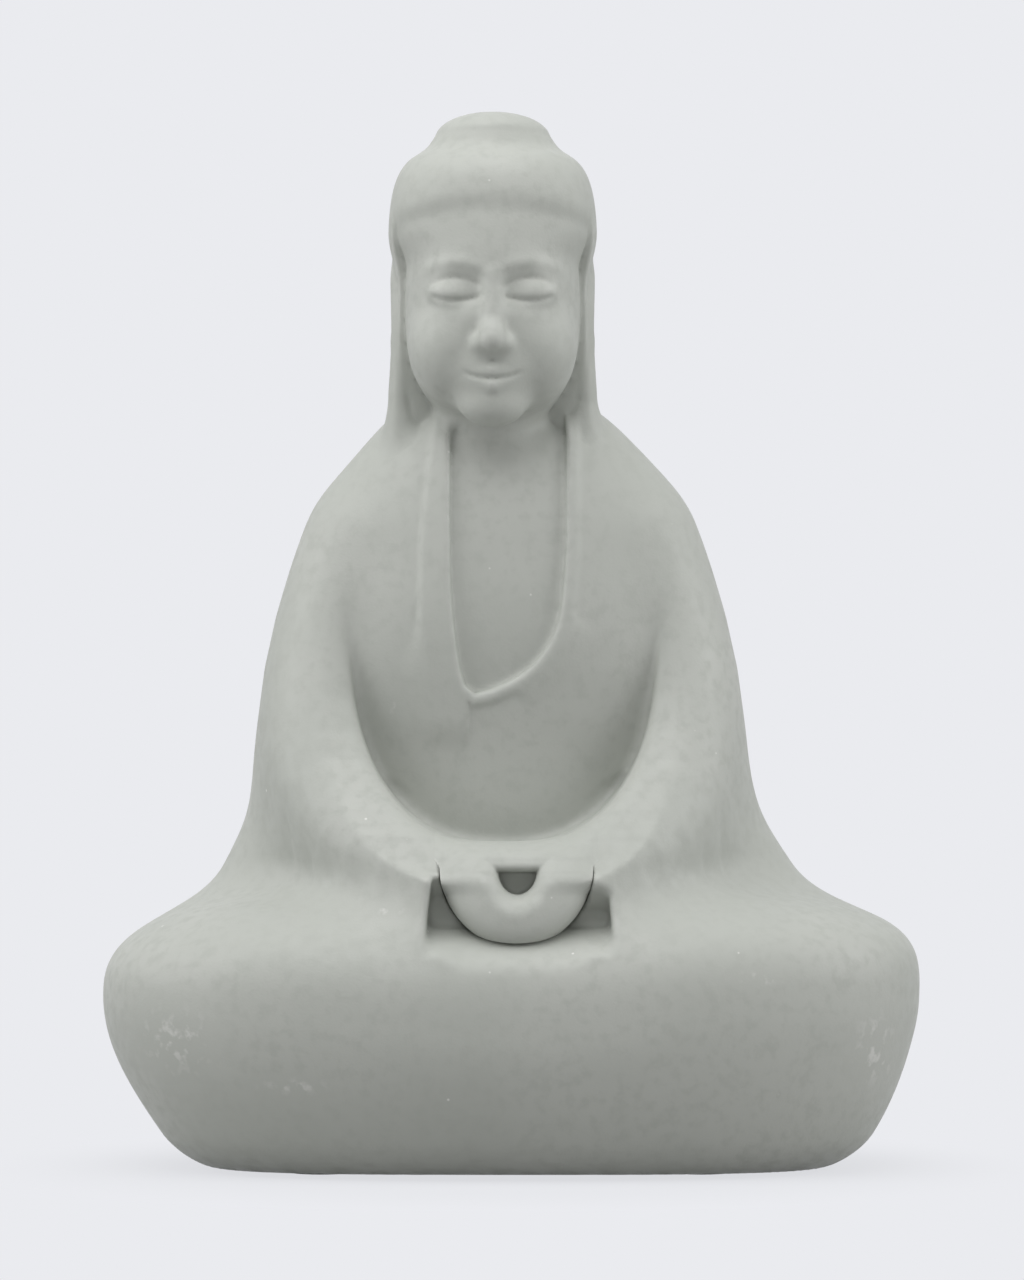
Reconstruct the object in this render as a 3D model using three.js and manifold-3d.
// A robed figure seated in meditation, slip-cast in grey-green stoneware. The hollow robed body carries
// a hollow head on a neck tenon, folded hands in a pocket of the lap, a slab that closes the foot, and
// four felt pads. Millimetres, +Z up, the figure looks along -Y, and the origin is under its middle.
import * as THREE from "three";
import { mergeVertices } from "three/addons/utils/BufferGeometryUtils.js";
import Module from "manifold-3d";

const wasm = await Module();
wasm.setup();

// Joints and walls
const seatGap = 0.3;
const wall = 5;
const softness = 11;
const drapeSoftness = 12;

// The crossed legs under the robe
const kneeHalfWidth = 77.4;
const kneeHeight = 32;
const lapFront = 46;
const lapBack = 42;
const lapRise = 22.6;
const lapCentreY = -2;
const lapTaper = 14.6;
const lapTaperPower = 1.75;
const lapTaperInDepth = 0.72;
const lapPlan = 2.5;
const lapCrown = 3;
const footRound = 7;
const footArch = 1.5;

// The cloak over back and shoulders
const cloakHalfWidth = 44.6;
const cloakStartZ = 60;
const cloakTopZ = 144;
const cloakCentreY = 9;
const cloakFront = 24;
const cloakBack = 27;
const cloakPlan = 2.3;
const cloakCrown = 2.55;
const skirtFlare = 15.5;
const skirtFlareInDepth = 0.3;
const skirtTopZ = 94;
const skirtFootZ = 50;
const skirtPower = 3;

// Chest and belly
const bellyHalfWidth = 30;
const bellyFront = 23;
const bellyBack = 22;
const bellyTopZ = 147;
const bellyWidestZ = 84;
const bellyFootZ = 40;
const bellyPlan = 2.1;
const bellyCrown = 3;

// Sleeves, from the shoulder round the elbow to the cuff; hang is how much deeper than round they sag
const sleeve = [
  { x: 24, y: 4, z: 117, radius: 11 },
  { x: 31, y: -1, z: 93, radius: 12 },
  { x: 31, y: -10, z: 72, radius: 12 },
  { x: 23, y: -22.5, z: 59, radius: 10.8 },
];
const cuffRadius = 9.2;
const cuffInset = 7.3;
const cuffDepth = 11;
const cuffDrop = 0.3;
const sleeveHang = 1.9;
const cuffHang = 1.15;

// The well between the sleeves, where the belly shows: a half ellipse from the front, with straight sides
const wellHalfWidth = 28.3;
const wellX = -0.9;
const wellWidestZ = 97;
const wellFootZ = 61;
const wellTopZ = 110;
const wellDepth = 24;

// Robe opening, seen from the front: straight at its sides, with its foot drawn to the figure's right
const openingFootZ = 89;
const openingLeftX = -11.5;
const openingRightX = 10.4;
const openingBend = 26;
const openingCorner = 3.4;
const openingSweep = 14;
const openingTurn = 7;
const chestDepth = 1.9;

// The collar: a wide band on one side that ends in a tip, laid over a narrow hem that comes round the foot
const collarThickness = 0.9;
const collarHem = 2.6;
const bandWidth = 5.7;
const bandTaper = 3.7;
const bandUnder = 5;
const bandBendZ = 103;
const bandTipX = -8.2;
const bandTipZ = 79.5;
const bandTipWidth = 0.6;

// Neck, with its socket in the body and its tenon under the head
const neckRadius = 9.6;
const neckY = 5;
const neckBore = 5.2;
const socketFloorZ = 130;
const tenonHeight = 18;

// Head
const headZ = 163;
const headY = 0;
const headHalfWidth = 19.8;
const headFront = 18;
const headBack = 21;
const headPlan = 2.3;
const headCrown = 4.8;
const napeCrown = 2.7;
const napeZ = 135;
const templeInset = 1.9;
const templeFootZ = 166;
const templeTopZ = 177;
const hairTopZ = 193;
const hairThickness = 0.9;
const hairlineZ = 182;
const hairlineY = -2;
const hairEdge = 0.3;
const topknotRadius = 11;
const topknotTopZ = 200;
const topknotZ = 194.4;
const topknotSink = 20;
const topknotTilt = 0.1;
const topknotY = 2;
const topknotBlend = 4.5;
const headWall = 4.5;

// A net's first and last rings lie this far inside the ends of its form.
const capStep = 0.2;

// Face: an oval, and forms laid on it, each with its centre, half sizes and how softly it joins
const chinZ = 140.5;
const faceHalfWidth = 16.8;
const faceFront = 19.5;
const faceBack = 15;
const facePlan = 2.2;
const faceCrown = 2.5;
const foreheadZ = 179;
const foreheadSlope = 0.03;
const browZ = 172;
const cheek = { x: 8.6, y: -10.6, z: 154.5, side: 6.6, front: 7.2, back: 7, down: 9, up: 8, blend: 4 };
const chin = { x: 0, y: -14.6, z: 144.6, side: 6.2, front: 4.6, back: 5, down: 4.4, up: 4.6, blend: 3.4 };
const jaws = { x: 0, y: -14.2, z: 150.5, side: 7.2, front: 5.4, back: 5, down: 5.5, up: 5.5, blend: 3 };
const eyeHollow = { x: 6.4, y: -21.4, z: 166.2, side: 5.4, front: 3.4, back: 3, down: 3, up: 3, blend: 3.6 };
const eyelid = { x: 6.9, y: -14.9, z: 165.3, side: 4.7, front: 3.3, back: 3, down: 2.8, up: 2.7, blend: 1.6 };
const noseTip = { x: 0, y: -20.2, z: 156.4, side: 2.3, front: 2.7, back: 2.6, down: 2, up: 3.2, blend: 2 };
const nostril = { x: 2.5, y: -18.4, z: 155.7, side: 1.5, front: 2, back: 2, down: 1.4, up: 1.7, blend: 1.6 };
const noseBridge = [{ x: 0, y: -17.4, z: 168.5, radius: 1.6 }, { x: 0, y: -20.2, z: 157, radius: 2 }];
const upperLip = [{ x: 0, y: -18.8, z: 150.7, radius: 1.2 }, { x: 4.9, y: -16.8, z: 150.2, radius: 0.4 }];
const lowerLip = [{ x: 0, y: -18.3, z: 148.2, radius: 1.45 }, { x: 3.8, y: -16.8, z: 149.1, radius: 0.5 }];
const browBlend = 2;
const bridgeBlend = 3;
const lipBlend = 2;
const lipSeam = 1;

// Ears: a long plate with a hollow, and a lobe that thickens towards the shoulder
const earTopZ = 173.5;
const earLobeZ = 136.5;
const earHalfThickness = 2.2;
const earHalfDepth = 5.6;
const earX = 17.5;
const earY = 2.5;
const earTurn = 1.4;
const earTaper = 1.5;
const earFoot = 2;
const lobeThickening = 1.3;
const lobeSpread = 0.5;
const earHollowRadius = 2.2;
const earHollowHalfHeight = 11;
const earHollowSink = 2.9;
const earHollowRise = 3.5;
const earRim = 1.7;

// Hands and their pocket, which widens towards its floor
const pocketHalfWidth = 17.3;
const pocketTopHalfWidth = 15.4;
const pocketX = 1.4;
const pocketFloorZ = 42;
const handsTopZ = 62.3;
const handsSetback = 5;
const handsDepth = 21;
const handsFrontY = lapCentreY - lapFront + handsSetback;
const pocketBackY = handsFrontY + handsDepth;
const bowlZ = 57.5;
const bowlDepth = 10;
const bowlPlan = 3.2;
const thumbTilt = 0.35;
const thumbRound = 3;
const thumbHeight = 5.8;
const windowX = 0.8;
const windowHalfWidth = 4.4;
const windowHeight = 5.2;
const windowDepth = 11;

// Foot slab and pads
const slabThickness = 4;
const slabLedge = 4;
const slabMargin = 5;
const ventRadius = 1.8;
const padRadius = 6;
const padThickness = 1.6;
const padStand = 0.6;
const padInset = 4;
const padTurn = 0.7;

const { clamp, lerp, smoothstep } = THREE.MathUtils;

// The figure leans a little to its right as it rises, as the hand-finished original does.
const leanAtTop = 4;
const leanEase = 0.35;

function lean(z) {
  const rise = clamp(z / topknotTopZ, 0, 1);
  return -leanAtTop * rise * (1 + leanEase - leanEase * rise);
}

// A form is a function of a point: negative inside, zero on the skin and close to the distance near it.
function softUnion(a, b, blend) {
  const overlap = Math.max(blend - Math.abs(a - b), 0) / blend;
  return Math.min(a, b) - (overlap * overlap * blend) / 4;
}

function softCut(a, b, blend) {
  return -softUnion(-a, b, blend);
}

function egg(x, y, z, size) {
  const { plan = 2, crown = 2 } = size;
  const px = Math.abs(x) / size.side;
  const py = Math.abs(y) / (y < 0 ? size.front : size.back);
  const pz = Math.abs(z) / (z < 0 ? size.down : size.up);
  const level = (px ** plan + py ** plan) ** (1 / plan);
  const whole = (level ** crown + pz ** crown) ** (1 / crown);
  return Math.hypot(x, y, z) * (1 - 1 / Math.max(whole, 1e-3));
}

// A tapered bar between two points, round or hanging deeper below its axis
function limb(x, y, z, from, to) {
  const along = [to.x - from.x, to.y - from.y, to.z - from.z];
  const way = [x - from.x, y - from.y, z - from.z];
  const reach = way[0] * along[0] + way[1] * along[1] + way[2] * along[2];
  const share = clamp(reach / Math.max(along[0] ** 2 + along[1] ** 2 + along[2] ** 2, 1e-6), 0, 1);
  const rise = way[2] - share * along[2];
  const hang = rise < 0 ? lerp(from.hang ?? 1, to.hang ?? 1, share) : 1;
  const off = Math.hypot(way[0] - share * along[0], way[1] - share * along[1], rise / hang);
  return off - lerp(from.radius, to.radius, share);
}

// How far the lap draws in below the knees, with a round foot edge
function lapInset(z) {
  const below = clamp((kneeHeight - z) / kneeHeight, 0, 1);
  const edge = Math.max(footRound - Math.max(z, 0), 0);
  return lapTaper * below ** lapTaperPower + footRound - Math.sqrt(Math.max(footRound ** 2 - edge ** 2, 0));
}

function lap(x, y, z) {
  const inset = lapInset(z);
  return egg(x, y - lapCentreY, Math.max(z - kneeHeight, 0), {
    side: kneeHalfWidth - inset,
    front: lapFront - lapTaperInDepth * inset,
    back: lapBack - lapTaperInDepth * inset,
    down: lapRise,
    up: lapRise,
    plan: lapPlan,
    crown: lapCrown,
  });
}

// The cloak spreads towards its foot, where it lies down over the lap.
function cloak(x, y, z) {
  const low = clamp((skirtTopZ - z) / (skirtTopZ - skirtFootZ), 0, 1);
  const flare = skirtFlare * low ** skirtPower * clamp(z / kneeHeight, 0, 1);
  return egg(x, y - cloakCentreY, Math.max(z - cloakStartZ, 0), {
    side: cloakHalfWidth + flare,
    front: cloakFront,
    back: cloakBack + flare * skirtFlareInDepth,
    down: cloakTopZ - cloakStartZ,
    up: cloakTopZ - cloakStartZ,
    plan: cloakPlan,
    crown: cloakCrown,
  });
}

function torso(x, y, z) {
  return egg(x, y - cloakCentreY, z - bellyWidestZ, {
    side: bellyHalfWidth,
    front: bellyFront,
    back: bellyBack,
    down: bellyWidestZ - bellyFootZ,
    up: bellyTopZ - bellyWidestZ,
    plan: bellyPlan,
    crown: bellyCrown,
  });
}

const cuff = {
  x: pocketHalfWidth - cuffInset,
  y: handsFrontY + cuffDepth,
  z: handsTopZ - cuffRadius + cuffDrop,
  radius: cuffRadius,
};
const armPoints = [...sleeve, cuff];
const armVectors = armPoints.map(({ x, y, z }) => new THREE.Vector3(x, y, z));
const armLine = new THREE.CatmullRomCurve3(armVectors, false, "catmullrom", 0.5);
const armRadii = armPoints.map(({ radius }) => radius);
const armJoints = [...steps(0, 1, 12), 1].map((share) => {
  const { x, y, z } = armLine.getPoint(share);
  const place = share * sleeve.length;
  const last = Math.min(Math.floor(place), sleeve.length - 1);
  return {
    x,
    y,
    z,
    radius: lerp(armRadii[last], armRadii[last + 1], place - last),
    hang: lerp(sleeveHang, cuffHang, clamp(2 * share - 1, 0, 1)),
  };
});

// How far out the arm's axis lies at a height
function armReach(z) {
  for (let i = 1; i < armJoints.length; i++) {
    const [high, low] = [armJoints[i - 1], armJoints[i]];
    if (z >= low.z) return lerp(low.x, high.x, clamp((z - low.z) / (high.z - low.z), 0, 1));
  }
  return cuff.x;
}

// Both sleeves, with cloth drawn across between them at the depth of the arms
function sleeves(x, y, z) {
  const side = Math.max(Math.abs(x), armReach(z));
  return armJoints
    .slice(1)
    .map((joint, i) => limb(side, y, z, armJoints[i], joint))
    .reduce((a, b) => Math.min(a, b));
}

function drape(x, y, z) {
  const upright = x - lean(z);
  const dressed = softUnion(cloak(upright, y, z), sleeves(upright, y, z), drapeSoftness);
  return softUnion(dressed, lap(x, y, z), softness);
}

function robe(x, y, z) {
  return softUnion(torso(x - lean(z), y, z), drape(x, y, z), softness / 2);
}

// The bottom of the well: level with the robe at its top, and set back behind the sleeves lower down
function wellFloor(x, y, z) {
  const depth = wellDepth * clamp((wellTopZ - z) / (wellTopZ - wellFootZ), 0, 1) ** 2;
  return softUnion(torso(x - lean(z), y, z), drape(x, y, z) + depth, softness / 2);
}

const headX = lean(headZ);

function hair(x, y, z) {
  const cap = egg(x - headX, y - headY, z - headZ, {
    side: headHalfWidth - templeInset * (1 - smoothstep(z, templeFootZ, templeTopZ)),
    front: headFront,
    back: headBack,
    down: headZ - napeZ,
    up: hairTopZ - headZ,
    plan: headPlan,
    crown: z < headZ ? napeCrown : headCrown,
  });
  const level = z + topknotTilt * (y - topknotY);
  const topknot = egg(x - headX, y - topknotY, level - topknotZ, {
    side: topknotRadius,
    front: topknotRadius,
    back: topknotRadius,
    down: topknotSink,
    up: topknotTopZ - topknotZ,
  });
  return softUnion(cap, topknot, topknotBlend);
}

function face(x, y, z) {
  const upright = x - headX;
  const side = Math.abs(upright);
  const shape = (form) => egg(side - form.x, y - form.y, z - form.z, form);
  const laidOn = (skin, form) => softUnion(skin, shape(form), form.blend);
  const oval = egg(upright, y - headY, z - headZ, {
    side: faceHalfWidth,
    front: faceFront,
    back: faceBack,
    down: headZ - chinZ,
    up: hairTopZ - headZ,
    plan: facePlan,
    crown: faceCrown,
  });
  const forehead = hair(x, y, z) + hairThickness + foreheadSlope * Math.max(foreheadZ - z, 0) ** 2;
  const bare = [cheek, chin].reduce(laidOn, softUnion(oval, forehead, browBlend));
  const lidded = laidOn(softCut(bare, shape(eyeHollow), eyeHollow.blend), eyelid);
  const bridged = softUnion(lidded, limb(upright, y, z, ...noseBridge), bridgeBlend);
  const lips = softUnion(limb(side, y, z, ...upperLip), limb(side, y, z, ...lowerLip), lipSeam);
  return softUnion([noseTip, nostril, jaws].reduce(laidOn, bridged), lips, lipBlend);
}

const earMiddleZ = (earTopZ + earLobeZ) / 2;
const earHalfHeight = (earTopZ - earLobeZ) / 2;

function ear(x, y, z) {
  const low = clamp((earMiddleZ - z) / earHalfHeight, -1, 1);
  const lobe = Math.max(low, 0) ** 3;
  const half = earHalfDepth - earTaper * low;
  return egg(x - earX - lobeSpread * lobe, y - earY + earTurn * low, z - earMiddleZ, {
    side: earHalfThickness + lobeThickening * lobe,
    front: half,
    back: half,
    down: earHalfHeight + earFoot,
    up: earHalfHeight,
    plan: 2.4,
    crown: 3.2,
  });
}

// Fingers laid in a bowl under the joined thumbs, as wide at its top as the gap between the cuffs
function handsForm(x, y, z) {
  const middleY = handsFrontY + bowlDepth;
  const down = bowlZ - pocketFloorZ - seatGap;
  const ahead = y - middleY - thumbTilt * Math.max(z - bowlZ, 0);
  const bowl = egg(x - pocketX, Math.min(ahead, 0), Math.min(z - bowlZ, 0), {
    side: pocketTopHalfWidth - seatGap,
    front: bowlDepth,
    back: bowlDepth,
    down,
    up: down,
    plan: bowlPlan,
  });
  return Math.max(softCut(bowl, handsTopZ - z, thumbRound), y - pocketBackY + seatGap);
}

// Rings of level rays from a spine, each ray ending where it first leaves the form, closed by a fan at
// either end. Each four corners are split along their shorter diagonal.
function wrap(form, { heights, columns, spine, reach, crowd = 0 }) {
  const points = [];
  const stride = reach / 60;
  for (const z of heights) {
    const [centreX, centreY] = spine(z);
    for (let column = 0; column < columns; column++) {
      const even = (column / columns) * 2 * Math.PI;
      const turn = even - Math.PI / 2 - crowd * Math.sin(even);
      const [dx, dy] = [Math.cos(turn), Math.sin(turn)];
      const holds = (r) => form(centreX + dx * r, centreY + dy * r, z) < 0;
      let inside = 0.2;
      while (inside < reach && holds(inside + stride)) inside += stride;
      let outside = inside + stride;
      for (let round = 0; round < 20; round++) {
        const middle = (inside + outside) / 2;
        if (holds(middle)) inside = middle;
        else outside = middle;
      }
      points.push(centreX + dx * inside, centreY + dy * inside, z);
    }
  }
  const faces = [];
  const rings = heights.length;
  const apart = (i, j) => Math.hypot(...[0, 1, 2].map((k) => points[3 * i + k] - points[3 * j + k]));
  for (let ring = 0; ring + 1 < rings; ring++)
    for (let column = 0; column < columns; column++) {
      const a = ring * columns + column;
      const b = ring * columns + ((column + 1) % columns);
      const [c, d] = [b + columns, a + columns];
      if (apart(a, c) < apart(b, d)) faces.push(a, b, c, a, c, d);
      else faces.push(a, b, d, b, c, d);
    }
  const foot = rings * columns;
  points.push(...spine(heights[0]), heights[0], ...spine(heights[rings - 1]), heights[rings - 1]);
  for (let column = 0; column < columns; column++) {
    const next = (column + 1) % columns;
    faces.push(foot, next, column);
    faces.push(foot + 1, foot - columns + column, foot - columns + next);
  }
  return solidOf(points, faces);
}

function solidOf(points, faces) {
  return new wasm.Manifold(
    new wasm.Mesh({
      numProp: 3,
      vertProperties: new Float32Array(points),
      triVerts: new Uint32Array(faces),
    }),
  );
}

function solid(geometry) {
  const bare = geometry.clone();
  bare.deleteAttribute("normal");
  bare.deleteAttribute("uv");
  const merged = mergeVertices(bare, 1e-4);
  return solidOf(merged.attributes.position.array, merged.index.array);
}

function piece(name, body, material) {
  const mesh = body.getMesh();
  const geometry = new THREE.BufferGeometry();
  geometry.setAttribute("position", new THREE.BufferAttribute(mesh.vertProperties, 3));
  geometry.setIndex(new THREE.BufferAttribute(mesh.triVerts, 1));
  const made = new THREE.Mesh(geometry.toNonIndexed(), material);
  made.geometry.computeVertexNormals();
  made.name = name;
  return made;
}

// Even steps from one height to another, without the last
function steps(from, to, count) {
  return Array.from({ length: count }, (_, i) => from + ((to - from) * i) / count);
}

// A prism of a front outline (x across, y up), from the plane y = front backwards
function frontPrism(outline, front, depth) {
  const prism = new THREE.ExtrudeGeometry(outline, { depth, bevelEnabled: false, curveSegments: 10 });
  prism.rotateX(Math.PI / 2);
  prism.translate(0, front + depth, 0);
  return solid(prism);
}

// A prism of a plan outline between two heights
function plate(outline, fromZ, toZ) {
  const made = new THREE.ExtrudeGeometry(outline, { depth: toZ - fromZ, bevelEnabled: false });
  made.translate(0, 0, fromZ);
  return solid(made);
}

function cylinder(radius, fromZ, toZ, x, y, segments) {
  const made = new THREE.CylinderGeometry(radius, radius, toZ - fromZ, segments);
  made.rotateX(Math.PI / 2);
  made.translate(x, y, (fromZ + toZ) / 2);
  return solid(made);
}

const frontPlaneY = lapCentreY - lapFront - wall;
const openingTopZ = cloakTopZ + wall;
const wellBackY = cloakCentreY - wall;

// The neck opening of the robe, grown by a margin
function openingOutline(margin) {
  const left = openingLeftX - margin;
  const right = openingRightX + margin;
  const foot = openingFootZ - margin;
  const outline = new THREE.Shape();
  outline.moveTo(left, openingTopZ);
  outline.lineTo(left, foot + openingBend);
  outline.quadraticCurveTo(left, foot + openingBend / 2, left + openingCorner, foot);
  outline.bezierCurveTo(left + openingSweep, foot, right, foot + openingTurn, right, foot + openingBend);
  outline.lineTo(right, openingTopZ);
  return outline;
}

function bandOutline(margin) {
  const left = openingLeftX - bandWidth - margin;
  const outline = new THREE.Shape();
  outline.moveTo(left + bandTaper, openingTopZ);
  outline.quadraticCurveTo(left, bandBendZ + openingBend, left, bandBendZ);
  const tipX = bandTipX - margin;
  outline.quadraticCurveTo(left + bandTaper, (bandBendZ + bandTipZ) / 2, tipX, bandTipZ - margin);
  outline.lineTo(bandTipX + bandTipWidth + margin, bandTipZ - margin);
  outline.lineTo(openingLeftX + bandUnder, openingTopZ);
  return outline;
}

const bodyHeights = [
  padStand,
  padStand + 0.9,
  ...steps(padStand + 2.4, kneeHeight, 5),
  ...steps(kneeHeight, wellFootZ + wall, 9),
  ...steps(wellFootZ + wall, socketFloorZ - wall, 13),
  ...steps(socketFloorZ - wall, cloakTopZ - 1, 6),
  cloakTopZ - 1,
];
const bodyNet = {
  heights: bodyHeights,
  columns: 70,
  spine: (z) => [lean(z) * smoothstep(z, kneeHeight, cloakStartZ), cloakCentreY - 3],
  reach: 1.2 * kneeHalfWidth,
  crowd: 0.28,
};
const upperNet = { ...bodyNet, heights: bodyHeights.filter((z) => z > wellFootZ - wall) };

// The lap's plan at the slab, drawn in by a margin
const slabBottomZ = padThickness + seatGap;
const slabTopZ = slabBottomZ + slabThickness;
const slabCeilingZ = slabTopZ + seatGap;

function footPoint(turn, margin) {
  const inset = lapInset(padStand);
  const [c, s] = [Math.cos(turn), Math.sin(turn)];
  const side = kneeHalfWidth - inset - margin;
  const deep = (s < 0 ? lapFront : lapBack) - lapTaperInDepth * inset - margin;
  const x = Math.sign(c) * side * Math.abs(c) ** (2 / lapPlan);
  const y = Math.sign(s) * deep * Math.abs(s) ** (2 / lapPlan);
  return new THREE.Vector2(x, lapCentreY + y);
}

function footPlan(margin) {
  return new THREE.Shape(steps(0, 2 * Math.PI, 48).map((turn) => footPoint(turn, margin)));
}

// The robe with its collar laid on, grown by a margin all over
function dressedSkin(margin, net) {
  const cloth = wrap((x, y, z) => robe(x, y, z) - margin, net);
  const chest = wrap((x, y, z) => wellFloor(x, y, z) - margin, upperNet);
  const well = frontPrism(wellOutline(0), frontPlaneY, wellBackY - frontPlaneY);
  const floorFrame = frontPrism(wellOutline(seatGap), frontPlaneY, wellBackY + wall - frontPlaneY);
  const collarCloth = wrap((x, y, z) => wellFloor(x, y, z) - collarThickness - margin, upperNet);
  const hem = frontPrism(openingOutline(collarHem + margin), frontPlaneY, wellBackY - frontPlaneY);
  const band = frontPrism(bandOutline(margin), frontPlaneY, wellBackY - frontPlaneY);
  return cloth
    .subtract(well)
    .add(chest.intersect(floorFrame))
    .add(collarCloth.intersect(hem.add(band)));
}

function wellOutline(margin) {
  const side = wellHalfWidth + margin;
  const down = wellWidestZ - wellFootZ + margin;
  const outline = new THREE.Shape();
  outline.moveTo(wellX - side, wellTopZ);
  for (const turn of [...steps(Math.PI, 2 * Math.PI, 24), 2 * Math.PI])
    outline.lineTo(wellX + side * Math.cos(turn), wellWidestZ + down * Math.sin(turn));
  outline.lineTo(wellX + side, wellTopZ);
  return outline;
}

function pocketForm(x, y, z) {
  const down = clamp((handsTopZ - z) / (handsTopZ - pocketFloorZ), 0, 1);
  const side = lerp(pocketTopHalfWidth, pocketHalfWidth, down);
  return Math.max(Math.abs(x - pocketX) - side, y - pocketBackY, pocketFloorZ - z);
}

function pocketPrism() {
  const outline = new THREE.Shape();
  outline.moveTo(pocketX - pocketHalfWidth, pocketFloorZ);
  outline.lineTo(pocketX + pocketHalfWidth, pocketFloorZ);
  outline.lineTo(pocketX + pocketTopHalfWidth, handsTopZ + seatGap);
  outline.lineTo(pocketX - pocketTopHalfWidth, handsTopZ + seatGap);
  return frontPrism(outline, frontPlaneY, pocketBackY - frontPlaneY);
}

// The rim of the foot rises towards its middle
function footArchPrism() {
  const side = kneeHalfWidth - lapInset(padStand);
  const outline = new THREE.Shape();
  outline.moveTo(-side, 0);
  outline.lineTo(-side, padStand);
  outline.quadraticCurveTo(0, padStand + 2 * footArch, side, padStand);
  outline.lineTo(side, 0);
  return frontPrism(outline, frontPlaneY, lapFront + lapBack + 2 * wall);
}

// What the hollow follows: the drape with the well taken out of it
function inside(x, y, z) {
  const beside = Math.abs(x - wellX) / wellHalfWidth;
  const inWell = z > wellFootZ - wall && z < wellTopZ && beside < 1.2;
  return inWell ? wellFloor(x, y, z) : robe(x, y, z);
}

function makeBody() {
  const opening = frontPrism(openingOutline(0), frontPlaneY, wellBackY - frontPlaneY);
  const chest = wrap((x, y, z) => wellFloor(x, y, z) + chestDepth, upperNet);
  const bulk = dressedSkin(0, bodyNet).subtract(opening.subtract(chest)).subtract(footArchPrism());

  const ledgeTopZ = slabCeilingZ + slabLedge;
  const hollowTopZ = socketFloorZ - wall;
  const hollow = wrap((x, y, z) => Math.max(inside(x, y, z), -pocketForm(x, y, z)) + wall, {
    ...bodyNet,
    heights: [
      ledgeTopZ,
      ...steps(ledgeTopZ + 3, kneeHeight + 8, 3),
      ...steps(kneeHeight + 8, hollowTopZ, 8),
      hollowTopZ,
    ],
    columns: 28,
    crowd: 0,
  });
  const slabSeat = plate(footPlan(slabMargin), -padStand, slabCeilingZ);
  const floorHole = plate(footPlan(slabMargin + slabLedge), 0, ledgeTopZ + 1);
  const socket = cylinder(neckRadius + seatGap, socketFloorZ, openingTopZ, headX, neckY, 28);
  const throat = cylinder(neckBore, hollowTopZ - wall, socketFloorZ + 1, headX, neckY, 20);
  return bulk
    .subtract(hollow.add(floorHole).add(slabSeat))
    .subtract(pocketPrism())
    .subtract(socket.add(throat));
}

function makeHead() {
  const spine = () => [headX, headY + 1];
  const around = { spine, reach: 1.6 * headBack };
  const hairHeights = [
    napeZ + 1,
    ...steps(napeZ + 3, templeFootZ, 6),
    ...steps(templeFootZ, hairlineZ - hairEdge, 4),
    hairlineZ - hairEdge,
    ...steps(hairlineZ + hairEdge, topknotTopZ - 1, 10),
    topknotTopZ - 1,
    topknotTopZ - capStep / 2,
  ];
  const skullForm = (x, y, z) => Math.max(hair(x, y, z), z < hairlineZ ? hairlineY - y : -headBack);
  const skull = wrap(skullForm, { ...around, heights: hairHeights, columns: 40 });
  const faceHeights = [
    chinZ + hairEdge,
    ...steps(chinZ + 1, browZ, 20),
    ...steps(browZ, hairlineZ + 3, 3),
    hairlineZ + 3,
  ];
  const skin = wrap(face, { ...around, heights: faceHeights, columns: 54, crowd: 0.45 });
  let made = skull.add(skin);
  for (const side of [-1, 1]) {
    const plate = wrap((x, y, z) => ear(side * (x - headX), y, z), {
      heights: [...steps(earLobeZ - earFoot + capStep, earTopZ - capStep, 9), earTopZ - capStep],
      columns: 12,
      spine: () => [headX + side * earX, earY],
      reach: 2 * earHalfDepth,
    });
    const hollow = new THREE.SphereGeometry(1, 10, 8);
    hollow.scale(earHollowRadius, earHalfDepth - earRim, earHollowHalfHeight);
    hollow.translate(headX + side * (earX + earHollowSink), earY, earMiddleZ + earHollowRise);
    made = made.add(plate.subtract(solid(hollow)));
  }
  made = made.subtract(dressedSkin(seatGap, upperNet));

  const tenonFootZ = socketFloorZ + seatGap;
  const tenon = cylinder(neckRadius, tenonFootZ, tenonFootZ + tenonHeight, headX, neckY, 28);
  const roofZ = hairTopZ - headWall - 1;
  const hollow = wrap((x, y, z) => Math.min(hair(x, y, z), face(x, y, z)) + headWall, {
    heights: [...steps(chinZ + 2 * headWall, roofZ, 7), roofZ],
    columns: 20,
    spine,
    reach: headBack,
  });
  const bore = cylinder(neckBore, tenonFootZ - 1, headZ, headX, neckY, 20);
  return made.add(tenon).subtract(hollow).subtract(bore);
}

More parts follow.
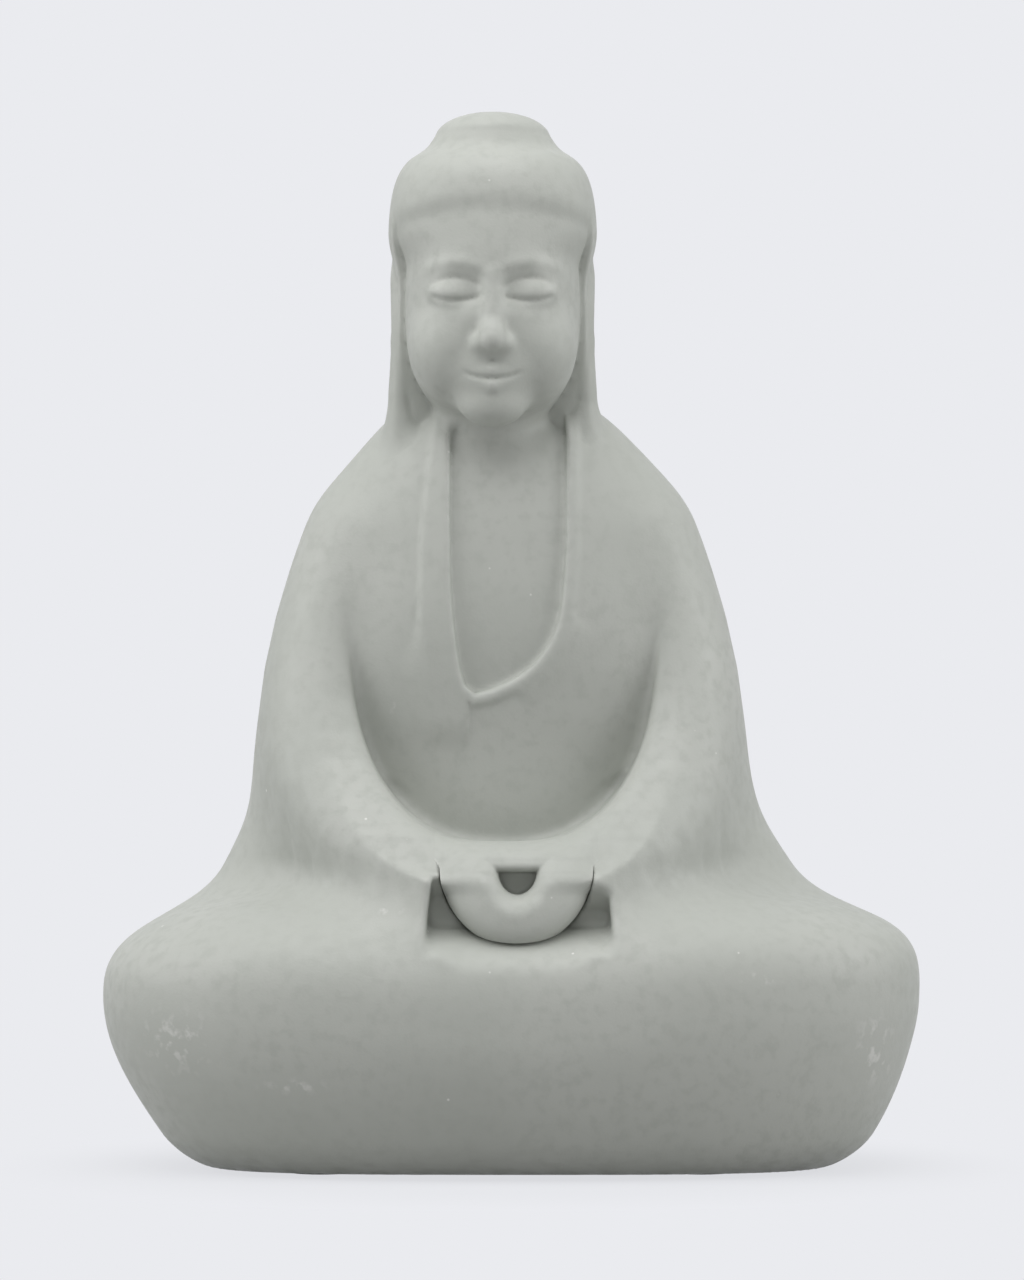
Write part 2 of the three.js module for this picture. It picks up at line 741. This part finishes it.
function makeHands() {
  const foot = pocketFloorZ + seatGap;
  const whole = wrap(handsForm, {
    heights: [
      foot + capStep / 2,
      ...steps(foot + 3 * capStep, handsTopZ - thumbRound / 2, 10),
      handsTopZ - thumbRound / 3,
      handsTopZ - capStep,
    ],
    columns: 38,
    spine: () => [pocketX, handsFrontY + bowlDepth + 1],
    reach: 30,
  });
  const windowTopZ = handsTopZ - thumbHeight;
  const windowFootZ = windowTopZ - windowHeight * 1.3;
  const window = new THREE.Shape();
  window.moveTo(windowX - windowHalfWidth, windowTopZ);
  window.bezierCurveTo(
    windowX - windowHalfWidth,
    windowFootZ,
    windowX + windowHalfWidth,
    windowFootZ,
    windowX + windowHalfWidth,
    windowTopZ,
  );
  return whole.subtract(frontPrism(window, frontPlaneY, handsFrontY + windowDepth - frontPlaneY));
}

function makeSlab() {
  const slab = plate(footPlan(slabMargin + seatGap), slabBottomZ, slabTopZ);
  return slab.subtract(cylinder(ventRadius, 0, slabTopZ + 1, 0, 0, 20));
}

const stoneware = new THREE.MeshStandardMaterial({ color: 0xb4b7b0, roughness: 0.62, metalness: 0 });
const felt = new THREE.MeshStandardMaterial({ color: 0x3c3e3b, roughness: 0.95, metalness: 0 });

const figure = new THREE.Group();
figure.add(piece("robed_body", makeBody(), stoneware));
figure.add(piece("head", makeHead(), stoneware));
figure.add(piece("folded_hands", makeHands(), stoneware));
figure.add(piece("base_slab", makeSlab(), stoneware));

// Two pads in front and two behind, under the slab's corners
const padMargin = slabMargin + padInset + padRadius;
const padTurns = {
  front_left: Math.PI + padTurn,
  front_right: -padTurn,
  rear_left: Math.PI - padTurn,
  rear_right: padTurn,
};
for (const [place, turn] of Object.entries(padTurns)) {
  const { x, y } = footPoint(turn, padMargin);
  figure.add(piece(`foot_pad_${place}`, cylinder(padRadius, 0, padThickness, x, y, 24), felt));
}

// The origin goes under the middle of the whole figure, on the surface that it stands on.
const box = new THREE.Box3().setFromObject(figure);
const middle = box.getCenter(new THREE.Vector3());
figure.position.set(-middle.x, -middle.y, -box.min.z);

export default figure;
